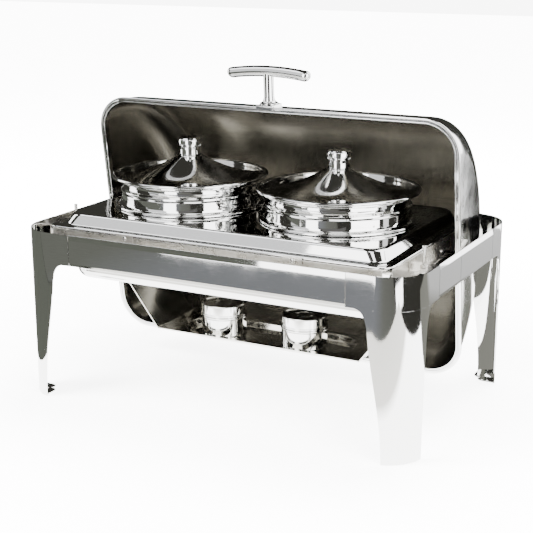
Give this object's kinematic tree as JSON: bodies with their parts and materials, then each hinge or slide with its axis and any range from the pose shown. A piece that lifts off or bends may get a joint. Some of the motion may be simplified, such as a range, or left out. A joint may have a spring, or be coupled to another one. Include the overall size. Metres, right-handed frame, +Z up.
{
  "type": "roll top chafer",
  "caption": "Rectangular roll top chafer: rounded-leg stand, rolling cover with top handle, water pan, adaptor plate with round lidded soup pots, and a fuel shelf with cans.",
  "frame": {"origin": "on the surface the feet stand on, under the middle of the stand", "axes": "+Z up; +X along the long side, to the right seen from the front; -Y towards the front, where the open cover faces"},
  "size_m": [0.64, 0.42, 0.5006],
  "materials": {
    "mirror_steel": "mirror-polished stainless steel",
    "cover_steel": "polished outside, brushed inside",
    "bracket_steel": "plain bright rolled steel"
  },
  "bodies": {
    "stand": {"bracket_bolt_left": "bracket_steel", "bracket_bolt_right": "bracket_steel", "bracket_nut_left": "bracket_steel", "bracket_nut_right": "bracket_steel", "carrier_rail_front": "bracket_steel", "carrier_rail_left": "bracket_steel", "carrier_rail_rear": "bracket_steel", "carrier_rail_right": "bracket_steel", "front_bracket_left": "bracket_steel", "front_bracket_right": "bracket_steel", "front_bracket_screw_left": "bracket_steel", "front_bracket_screw_right": "bracket_steel", "front_rail": "mirror_steel", "fuel_shelf": "mirror_steel", "hinge_bracket_left": "bracket_steel", "hinge_bracket_right": "bracket_steel", "hinge_pin_left": "mirror_steel", "hinge_pin_right": "mirror_steel", "hinge_washer_left": "bracket_steel", "hinge_washer_right": "bracket_steel", "leg_front_left": "mirror_steel", "leg_front_right": "mirror_steel", "leg_rear_left": "mirror_steel", "leg_rear_right": "mirror_steel", "rear_rail": "mirror_steel", "shelf_screw_left": "bracket_steel", "shelf_screw_right": "bracket_steel", "side_bracket_left": "bracket_steel", "side_bracket_right": "bracket_steel", "side_rail_left_front": "mirror_steel", "side_rail_left_rear": "mirror_steel", "side_rail_right_front": "mirror_steel", "side_rail_right_rear": "mirror_steel", "splice_front_left": "bracket_steel", "splice_front_right": "bracket_steel", "splice_rear_left": "bracket_steel", "splice_rear_right": "bracket_steel", "stop_pin_left": "bracket_steel", "stop_pin_right": "bracket_steel"},
    "cover": {"cover_shell": "cover_steel", "handle_bar": "mirror_steel", "handle_plate": "mirror_steel", "handle_post": "mirror_steel", "handle_screw": "bracket_steel", "hinge_ear_left": "bracket_steel", "hinge_ear_right": "bracket_steel"},
    "pan": {"water_pan": "mirror_steel"},
    "plate": {"adaptor_plate": "mirror_steel"},
    "soup_pot_left": {"pot_left": "mirror_steel"},
    "soup_pot_right": {"pot_right": "mirror_steel"},
    "lid_left": {"pot_lid_left": "mirror_steel", "lid_knob_left": "mirror_steel", "knob_screw_left": "bracket_steel"},
    "lid_right": {"pot_lid_right": "mirror_steel", "lid_knob_right": "mirror_steel", "knob_screw_right": "bracket_steel"},
    "can_left": {"fuel_can_left": "mirror_steel"},
    "can_right": {"fuel_can_right": "mirror_steel"},
    "cap_left": {"can_cap_left": "mirror_steel"},
    "cap_right": {"can_cap_right": "mirror_steel"}
  },
  "joints": [
    {"name": "cover_hinge", "type": "hinge", "parent": "stand", "child": "cover", "pos_m": [0, 0, 0.24], "axis": [1, 0, 0], "range_deg": [0, 82.3]},
    {"name": "pan_lift", "type": "slide", "parent": "stand", "child": "pan", "axis": [0, 0, 1], "range_m": [0, 0.006]},
    {"name": "plate_lift", "type": "slide", "parent": "pan", "child": "plate", "axis": [0, 0, 1], "range_m": [0, 0.006]},
    {"name": "pot_left_lift", "type": "slide", "parent": "plate", "child": "soup_pot_left", "axis": [0, 0, 1], "range_m": [0, 0.01]},
    {"name": "pot_right_lift", "type": "slide", "parent": "plate", "child": "soup_pot_right", "axis": [0, 0, 1], "range_m": [0, 0.01]},
    {"name": "lid_left_lift", "type": "slide", "parent": "soup_pot_left", "child": "lid_left", "axis": [0, 0, 1], "range_m": [0, 0.018]},
    {"name": "lid_right_lift", "type": "slide", "parent": "soup_pot_right", "child": "lid_right", "axis": [0, 0, 1], "range_m": [0, 0.018]},
    {"name": "can_left_lift", "type": "slide", "parent": "stand", "child": "can_left", "axis": [0, 0, 1], "range_m": [0, 0.03]},
    {"name": "can_right_lift", "type": "slide", "parent": "stand", "child": "can_right", "axis": [0, 0, 1], "range_m": [0, 0.03]},
    {"name": "cap_left_lift", "type": "slide", "parent": "can_left", "child": "cap_left", "axis": [0, 0, 1], "range_m": [0, 0.02]},
    {"name": "cap_right_lift", "type": "slide", "parent": "can_right", "child": "cap_right", "axis": [0, 0, 1], "range_m": [0, 0.02]}
  ]
}
